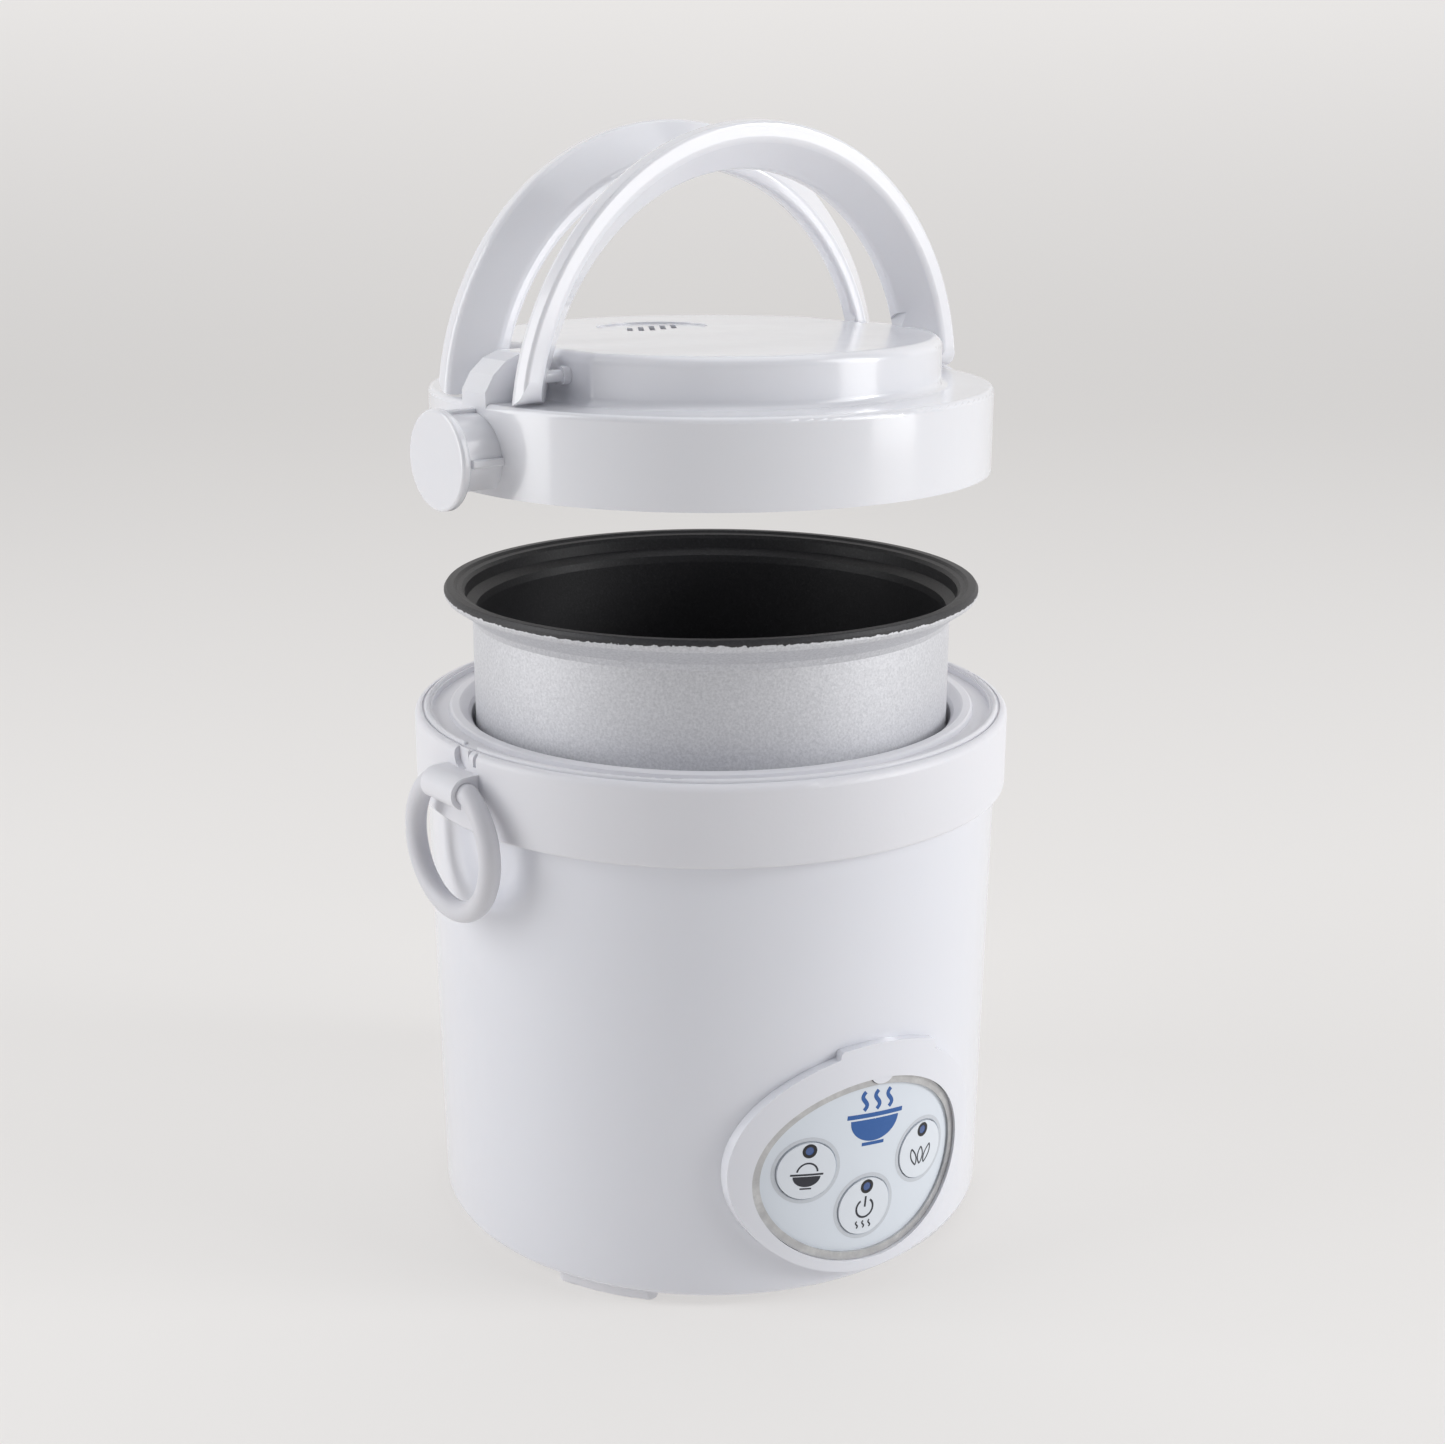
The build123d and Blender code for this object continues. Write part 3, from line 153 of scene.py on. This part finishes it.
def moulded(name, colour, rough, coat=0.0, grain=0.00001, waves=0.00002, soft=0.0):
    """Moulded plastic: faint shade changes, uneven gloss, fine grain and slow sink waves."""
    m = Mat(name)
    broad = m.noise(14.0, 2.0)
    fine = m.noise(900.0, 3.0, 0.6)
    dark = tuple(c * 0.975 for c in colour)
    m.set(Base_Color=m.mix(broad, dark, colour))
    smudge = m.noise(55.0, 4.0, 0.6)
    m.set(Roughness=m.span(smudge, rough - 0.035, rough + 0.045))
    m.set(IOR=1.5)
    m.set(Coat_Weight=coat, Coat_Roughness=0.08)
    if soft:
        m.set(Subsurface_Weight=soft, Subsurface_Scale=0.004)
        m.shader.inputs["Subsurface Radius"].default_value = (1.0, 0.8, 0.7)
    m.bump((m.noise(22.0, 1.0), waves), (fine, grain))
    return m.mat


def metal(name, colour, rough, stretch=(1, 1, 1), grain=0.00001, scale=600.0):
    """Bare metal with tool marks."""
    m = Mat(name)
    marks = m.noise(scale, 3.0, 0.6, stretch=stretch)
    stain = m.noise(30.0, 3.0, 0.6)
    dark = tuple(c * 0.8 for c in colour)
    m.set(Base_Color=m.mix(stain, dark, colour), Metallic=1.0)
    m.set(Roughness=m.span(marks, rough - 0.08, rough + 0.1))
    m.bump((marks, grain))
    return m.mat


def pot_material():
    """Blasted silver outside, charcoal non-stick inside, with a ragged paint edge on the lip."""
    m = Mat("pot_coatings")
    place = m.coords()
    split = m.add("ShaderNodeSeparateXYZ")
    m.link(place, split.inputs[0])
    x, y, z = split.outputs
    face = m.add("ShaderNodeSeparateXYZ")
    m.link(m.add("ShaderNodeTexCoord").outputs["Normal"], face.inputs[0])
    nx, ny, nz = face.outputs
    outward = m.math("ADD", m.math("MULTIPLY", x, nx), m.math("MULTIPLY", y, ny))
    inside = m.math("LESS_THAN", outward, -0.002)
    upward = m.math("GREATER_THAN", nz, 0.35)
    inside = m.math("MAXIMUM", inside, upward)
    ragged = m.noise(620.0, 4.0, 0.7)
    slow = m.noise(26.0, 2.0)
    edge = m.math("MULTIPLY_ADD", ragged, 0.0018, (POT_TOP - 2.95) * MM)
    edge = m.math("MULTIPLY_ADD", slow, 0.0011, edge)
    above = m.math("GREATER_THAN", z, edge)
    coated = m.math("MAXIMUM", inside, above)
    # a few specks of the dark coating on the silver just under the lip
    speck = m.add("ShaderNodeTexVoronoi")
    m.link(place, speck.inputs["Vector"])
    speck.inputs["Scale"].default_value = 120.0
    near = m.math("LESS_THAN", speck.outputs["Distance"], 0.055)
    band = m.math("GREATER_THAN", z, (POT_TOP - 16) * MM)
    rare = m.math("GREATER_THAN", m.noise(45.0, 1.0), 0.66)
    spots = m.math("MULTIPLY", m.math("MULTIPLY", near, band), rare)
    coated = m.math("MAXIMUM", coated, spots)
    grit = m.noise(2600.0, 2.0, 0.7)
    mottle = m.noise(1500.0, 2.0, 0.7)
    silver = m.ramp(mottle, [(0.3, (0.58, 0.585, 0.61)), (0.5, (0.66, 0.665, 0.69)),
                             (0.7, (0.74, 0.745, 0.77))])
    black = m.ramp(mottle, [(0.25, (0.016, 0.016, 0.018)), (0.6, (0.027, 0.027, 0.030)),
                            (0.8, (0.05, 0.05, 0.054))])
    m.set(Base_Color=m.mix(coated, silver, black))
    m.set(Metallic=m.math("MULTIPLY_ADD", coated, -0.5, 0.5))
    rough = m.math("MULTIPLY_ADD", coated, -0.08, 0.5)
    m.set(Roughness=m.math("MULTIPLY_ADD", grit, 0.1, rough))
    m.bump((grit, 0.00003), (mottle, 0.00003), (coated, 0.00012))
    return m.mat


def ring_material():
    """Bright ring with a patchy, slightly crystalline finish."""
    m = Mat("mottled_ring")
    cells = m.add("ShaderNodeTexVoronoi")
    m.link(m.coords(), cells.inputs["Vector"])
    cells.inputs["Scale"].default_value = 700.0
    patch = m.noise(240.0, 4.0, 0.7)
    m.set(Base_Color=m.ramp(patch, [(0.3, (0.46, 0.46, 0.465)), (0.55, (0.55, 0.55, 0.55)),
                                    (0.75, (0.66, 0.66, 0.655))]), Metallic=0.6)
    m.set(Roughness=m.span(cells.outputs["Color"], 0.3, 0.5))
    m.bump((cells.outputs["Distance"], 0.00003), (patch, 0.00004))
    return m.mat


def ink(name, colour, rough=0.45):
    """Printed ink with slight unevenness."""
    m = Mat(name)
    worn = m.noise(800.0, 3.0, 0.7)
    light = tuple(min(1.0, c * 1.25 + 0.01) for c in colour)
    m.set(Base_Color=m.mix(m.math("MULTIPLY", worn, 0.5), colour, light), Roughness=rough)
    m.bump((worn, 0.000004))
    return m.mat


def board_material():
    """Green circuit board with faint tracks."""
    m = Mat("green_board")
    tracks = m.add("ShaderNodeTexBrick")
    m.link(m.coords(), tracks.inputs["Vector"])
    tracks.inputs["Scale"].default_value = 120.0
    tracks.inputs["Mortar Size"].default_value = 0.03
    tracks.inputs["Color1"].default_value = (0.012, 0.13, 0.045, 1)
    tracks.inputs["Color2"].default_value = (0.014, 0.15, 0.05, 1)
    tracks.inputs["Mortar"].default_value = (0.03, 0.22, 0.08, 1)
    m.set(Base_Color=tracks.outputs["Color"], Roughness=0.35)
    m.bump((m.noise(500.0, 2.0), 0.00002))
    return m.mat


WHITE = (0.80, 0.81, 0.86)
MATERIALS = {
    "gloss_white": moulded("gloss_white", WHITE, 0.2, coat=0.5, soft=0.06),
    "lid_white": moulded("lid_white", (0.81, 0.815, 0.85), 0.2, coat=0.5, soft=0.06),
    "satin_white": moulded("satin_white", (0.79, 0.79, 0.825), 0.42, grain=0.00003, soft=0.05),
    # latch rings: the collar's satin white plastic darkened, painted shade on the rings
    "painted_shade_ring_white": moulded("painted_shade_ring_white", (0.68, 0.68, 0.715), 0.4, grain=0.00003, soft=0.05),
    "film": moulded("film", (0.74, 0.79, 0.85), 0.34, coat=0.2, grain=0.000004),
    "key_film": moulded("key_film", (0.77, 0.81, 0.86), 0.38, grain=0.000004),
    "pot": pot_material(),
    "ring": ring_material(),
    "steel": metal("plain_steel", (0.55, 0.55, 0.56), 0.3, stretch=(1, 1, 12)),
    "cast": metal("cast_aluminium", (0.6, 0.6, 0.61), 0.42, grain=0.00004),
    "inlet": moulded("inlet_plastic", (0.7, 0.7, 0.71), 0.4, grain=0.00004),
    "dark": moulded("dark_component", (0.03, 0.03, 0.035), 0.45, grain=0.00004),
    "silicone": moulded("silicone", (0.62, 0.62, 0.6), 0.5, grain=0.00002, soft=0.2),
    "board": board_material(),
    "red": moulded("red_wire", (0.4, 0.03, 0.02), 0.4),
    "blue": moulded("blue_wire", (0.02, 0.06, 0.35), 0.4),
    "grey": moulded("grey_wire", (0.25, 0.25, 0.26), 0.4),
    "lens": moulded("blue_lens", (0.03, 0.085, 0.27), 0.14, coat=0.8, grain=0.000002),
}
USE = {
    "gloss_white": ["body_shell", "base_plate", "panel_bezel"],
    "lid_white": ["lid_cover", "handle_front", "handle_back", "latch_knob_left", "latch_knob_right",
                  "steam_vent", "lid_inner_shell", "handle_pins"],
    "satin_white": ["collar", "ring_hanger_left", "ring_hanger_right", "feet"],
    "painted_shade_ring_white": ["latch_ring_left", "latch_ring_right"],
    "film": ["panel_overlay"],
    "key_film": ["button_left", "button_right", "button_power"],
    "pot": ["inner_pot"],
    "ring": ["panel_ring"],
    "cast": ["heating_plate", "heater_element", "sensor_cap", "sensor_stem", "lid_plate"],
    "inlet": ["power_inlet"],
    "dark": ["key_switches", "relay", "transformer", "capacitors", "thermal_fuse"],
    "silicone": ["lid_gasket"],
    "board": ["control_board", "power_board"],
    "red": ["mains_lead_live"],
    "blue": ["mains_lead_neutral"],
    "grey": ["ribbon_lead"],
    "lens": ["window_left", "window_right", "window_power", "indicator_lamps"],
}
FINISH = {node: MATERIALS[name] for name, nodes in USE.items() for node in nodes}
for node_name, node_object in NODES.items():
    node_object.data.materials.clear()
    node_object.data.materials.append(FINISH.get(node_name, MATERIALS["steel"]))


# ---------------------------------------------------------------- printed marks on the panel
def panel_point(u, v, radius):
    """Point of the panel's curved face, in metres; u runs right and v up as the panel is read."""
    out = Vector((cos(PANEL_AZIMUTH), sin(PANEL_AZIMUTH), 0))
    side = Vector((-sin(PANEL_AZIMUTH), cos(PANEL_AZIMUTH), 0))
    s = u * cos(PANEL_TILT) - v * sin(PANEL_TILT)
    up = u * sin(PANEL_TILT) + v * cos(PANEL_TILT)
    depth = sqrt(radius * radius - s * s)
    return (out * depth + side * s + Vector((0, 0, PANEL_Z + up))) * MM


def make_piece(name, verts, faces, material, body, smooth=True):
    mesh = bpy.data.meshes.new(name)
    mesh.from_pydata([tuple(v) for v in verts], [], faces)
    mesh.update()
    bm = bmesh.new()
    bm.from_mesh(mesh)
    bmesh.ops.recalc_face_normals(bm, faces=bm.faces)
    bm.to_mesh(mesh)
    bm.free()
    for polygon in mesh.polygons:
        polygon.use_smooth = smooth
    obj = bpy.data.objects.new(name, mesh)
    SCENE.collection.objects.link(obj)
    mesh.materials.append(material)
    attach(obj, body)
    return obj


class Print:
    """Collects flat printed shapes that lie on the curved panel as one thin film."""

    THICK = 0.03

    def __init__(self, radius, centre=(0.0, 0.0)):
        self.radius = radius
        self.centre = centre
        self.verts = []
        self.faces = []

    def grid(self, rows):
        """rows is a list of equally long rows of (u, v)."""
        wide = len(rows[0])
        for lift in (0.004, self.THICK):
            start = len(self.verts)
            for row in rows:
                for u, v in row:
                    self.verts.append(panel_point(self.centre[0] + u, self.centre[1] + v,
                                                  self.radius + lift))
            for r in range(len(rows) - 1):
                for c in range(wide - 1):
                    a = start + r * wide + c
                    quad = (a, a + 1, a + wide + 1, a + wide)
                    self.faces.append(quad if lift > 0.01 else quad[::-1])

    def stroke(self, points, width, closed=False):
        """Ribbon along a line of points."""
        count = len(points)
        rows = []
        for i, (u, v) in enumerate(points):
            if closed:
                before, after = points[i - 1], points[(i + 1) % count]
            else:
                before, after = points[max(i - 1, 0)], points[min(i + 1, count - 1)]
            du, dv = after[0] - before[0], after[1] - before[1]
            length = sqrt(du * du + dv * dv) or 1.0
            nu, nv = -dv / length * width / 2, du / length * width / 2
            rows.append([(u - nu, v - nv), (u, v), (u + nu, v + nv)])
        if closed:
            rows.append(rows[0])
        self.grid(rows)

    def circle(self, u, v, radius, width, start=0.0, end=360.0, steps=64):
        """Round line, or an arc of one."""
        whole = end - start >= 360
        count = steps if whole else steps + 1
        turns = [radians(start + (end - start) * i / steps) for i in range(count)]
        self.stroke([(u + radius * cos(t), v + radius * sin(t)) for t in turns], width, closed=whole)

    def disc(self, u, v, radius_u, radius_v, start=0.0, end=360.0, steps=48):
        """Filled oval, or a sector of one."""
        turns = [radians(start + (end - start) * i / steps) for i in range(steps + 1)]
        self.grid([[(u + radius_u * k * cos(t), v + radius_v * k * sin(t)) for t in turns]
                   for k in (0.02, 0.35, 0.7, 1.0)])

    def block(self, u0, v0, u1, v1, steps=8):
        """Filled rectangle."""
        self.grid([[(u0 + (u1 - u0) * i / steps, v) for i in range(steps + 1)] for v in (v0, v1)])

    def build(self, name, material, body):
        return make_piece(name, self.verts, self.faces, material, body)


BLUE_INK = ink("blue_ink", (0.02, 0.10, 0.33))
DARK_INK = ink("dark_ink", (0.018, 0.02, 0.03))
GREY_INK = ink("grey_ink", (0.56, 0.59, 0.63))
PALE_SEAL = ink("pale_seal", (0.70, 0.73, 0.77))
BLACK_BAND = ink("black_band", (0.008, 0.008, 0.01), 0.3)


def wavy(u, v, height, sway, steps=16):
    """Points of a wisp that rises from (u, v)."""
    return [(u + sway * sin(2 * pi * i / steps), v + height * i / steps) for i in range(steps + 1)]


def emblem():
    """Plain blue mark above the keys: a bowl with three wisps of steam."""
    mark = Print(OVERLAY_R, (0.5, 13.2))
    mark.disc(0.0, 0.0, 7.4, 6.0, 180.0, 360.0)
    mark.block(-8.6, 0.5, 8.6, 1.7)
    mark.block(-3.4, -7.1, 3.4, -6.2)
    for u in (-3.9, 0.0, 3.9):
        mark.stroke(wavy(u, 2.6, 5.0, 0.75), 1.15)
    mark.build("panel_mark", BLUE_INK, "housing")


def power_icon(icon):
    """Open ring with a bar, over three wisps of warm air."""
    icon.circle(0, -0.5, 2.5, 0.55, 125.0, 415.0)
    icon.block(-0.28, -0.2, 0.28, 2.7, 2)
    for du in (-1.9, 0.0, 1.9):
        icon.stroke(wavy(du, -5.9, 1.9, 0.32), 0.42)


def bowl_icon(icon):
    """Bowl with a mound of rice."""
    icon.disc(0.0, -1.5, 3.6, 2.8, 180.0, 360.0)
    icon.block(-4.3, -1.25, 4.3, -0.75)
    icon.circle(0.0, -0.6, 2.7, 0.45, 8.0, 172.0, 24)
    icon.block(-1.5, -5.0, 1.5, -4.6)


def grain_outline(du, turn, steps=16):
    """Pointed oval of one grain, leaning by turn degrees."""
    lean = sin(radians(turn))
    spine = [(du - lean * (i / steps - 0.5) * 4.4, -3.9 + 4.6 * i / steps) for i in range(steps + 1)]
    swell = [0.95 * sin(pi * i / steps) ** 0.8 for i in range(steps + 1)]
    right = [(u + w, v) for (u, v), w in zip(spine, swell)]
    left = [(u - w, v) for (u, v), w in zip(spine, swell)]
    return right + left[::-1]


def grains_icon(icon):
    """Three grains, fanned out."""
    for turn, du in ((24.0, -2.5), (0.0, 0.0), (-24.0, 2.5)):
        icon.stroke(grain_outline(du, turn)[:-1], 0.4, closed=True)


ICONS = {"left": bowl_icon, "right": grains_icon, "power": power_icon}


def key_marks():
    """Outline, seal, lamp band and symbol of each key."""
    for name, (u, v) in KEYS.items():
        body = "key_" + name
        rim = Print(OVERLAY_R, (u, v))
        rim.circle(0, 0, KEY_HOLE_R + 0.55, 0.9)
        rim.build("key_outline_" + name, GREY_INK, "housing")
        seal = Print(OVERLAY_R - 0.35, (u, v))
        seal.circle(0, 0, KEY_HOLE_R - 0.14, 0.16)
        seal.build("key_seal_" + name, PALE_SEAL, "housing")
        band = Print(CAP_R, (u, v + LED_ABOVE))
        band.circle(0, 0, 1.5, 0.8, steps=32)
        band.build("lamp_band_" + name, BLACK_BAND, body)
        icon = Print(CAP_R, (u, v))
        ICONS[name](icon)
        icon.build("key_icon_" + name, DARK_INK, body)


emblem()
key_marks()


# ---------------------------------------------------------------- floor, light and camera
# Metres.
SWEEP_HALF_WIDTH = 7.0
SWEEP_FRONT = -6.0
SWEEP_BEND = 1.6           # the floor starts to curve up here, with this radius
SWEEP_TOP = 6.0
CAMERA_PLACE = (0.0, -0.5177, 0.28176)
CAMERA_DOWN = radians(16.17)
CAMERA_YAW = -0.005887
CAMERA_ROLL = 0.00255


def make_floor():
    """Pale sweep: flat in front, curving up far behind."""
    m = Mat("pale_floor")
    tone = m.noise(3.0, 2.0)
    m.set(Base_Color=m.mix(tone, (0.33, 0.325, 0.32), (0.34, 0.335, 0.33)), Roughness=0.85)
    m.shader.inputs["Specular IOR Level"].default_value = 0.0
    split = m.add("ShaderNodeSeparateXYZ")
    m.link(m.coords(), split.inputs[0])
    climb = m.math("MULTIPLY", split.outputs[2], 2.1, clamp=True)
    m.set(Emission_Color=(0.78, 0.763, 0.747, 1.0))
    m.set(Emission_Strength=m.math("MULTIPLY_ADD", climb, 0.23, 0.625))
    m.bump((m.noise(300.0, 2.0), 0.00001))
    profile = [(SWEEP_FRONT, 0.0), (-2.0, 0.0), (0.0, 0.0), (SWEEP_BEND, 0.0)]
    steps = 12
    for i in range(1, steps + 1):
        turn = radians(90 * i / steps)
        profile.append((SWEEP_BEND * (1 + sin(turn)), SWEEP_BEND * (1 - cos(turn))))
    profile.append((2 * SWEEP_BEND, SWEEP_TOP))
    verts = []
    for x in (-SWEEP_HALF_WIDTH, SWEEP_HALF_WIDTH):
        verts += [Vector((x, y, z)) for y, z in profile]
    count = len(profile)
    faces = [(i, i + 1, count + i + 1, count + i) for i in range(count - 1)]
    mesh = bpy.data.meshes.new("sweep")
    mesh.from_pydata([tuple(v) for v in verts], [], faces)
    for polygon in mesh.polygons:
        polygon.use_smooth = True
    obj = bpy.data.objects.new("sweep", mesh)
    mesh.materials.append(m.mat)
    SCENE.collection.objects.link(obj)


def area_light(name, place, target, size, energy, colour=(1, 1, 1)):
    lamp = bpy.data.lights.new(name, "AREA")
    lamp.shape = "RECTANGLE"
    lamp.size, lamp.size_y = size
    lamp.energy = energy
    lamp.color = colour
    obj = bpy.data.objects.new(name, lamp)
    SCENE.collection.objects.link(obj)
    obj.location = place
    aim = Vector(target) - Vector(place)
    obj.rotation_euler = aim.to_track_quat("-Z", "Y").to_euler()


def make_lights():
    """Weak room light, a box on each side, one overhead and a distant key from the right."""
    world = bpy.data.worlds.new("soft_room")
    SCENE.world = world
    world.use_nodes = True
    background = world.node_tree.nodes["Background"]
    background.inputs["Color"].default_value = (0.86, 0.88, 0.96, 1)
    background.inputs["Strength"].default_value = 0.255
    area_light("left_box", (-1.0, -0.2, 0.5), (0, 0, 0.15), (0.6, 1.3), 7.8)
    area_light("right_box", (1.1, -0.3, 0.55), (0, 0, 0.15), (0.5, 1.1), 6.1)
    area_light("top_box", (0.2, 0.1, 1.5), (0, 0, 0.1), (1.2, 1.0), 4.5)
    area_light("key", (1.9, -0.25, 0.75), (0, 0, 0.12), (0.35, 0.5), 9.0)


def make_camera():
    """50 mm lens at the photograph's angle."""
    data = bpy.data.cameras.new("camera")
    data.lens = 50.0
    data.sensor_width = 36.0
    data.sensor_fit = "HORIZONTAL"
    data.clip_start = 0.01
    data.clip_end = 50.0
    camera = bpy.data.objects.new("camera", data)
    SCENE.collection.objects.link(camera)
    camera.matrix_world = (Matrix.Translation(CAMERA_PLACE) @ Matrix.Rotation(CAMERA_YAW, 4, "Z")
                           @ Matrix.Rotation(radians(90) - CAMERA_DOWN, 4, "X")
                           @ Matrix.Rotation(CAMERA_ROLL, 4, "Z"))
    SCENE.camera = camera


make_floor()
make_lights()
make_camera()
SCENE.view_settings.view_transform = "Standard"
SCENE.view_settings.look = "None"
SCENE.view_settings.exposure = 0.0

bpy.context.view_layer.update()
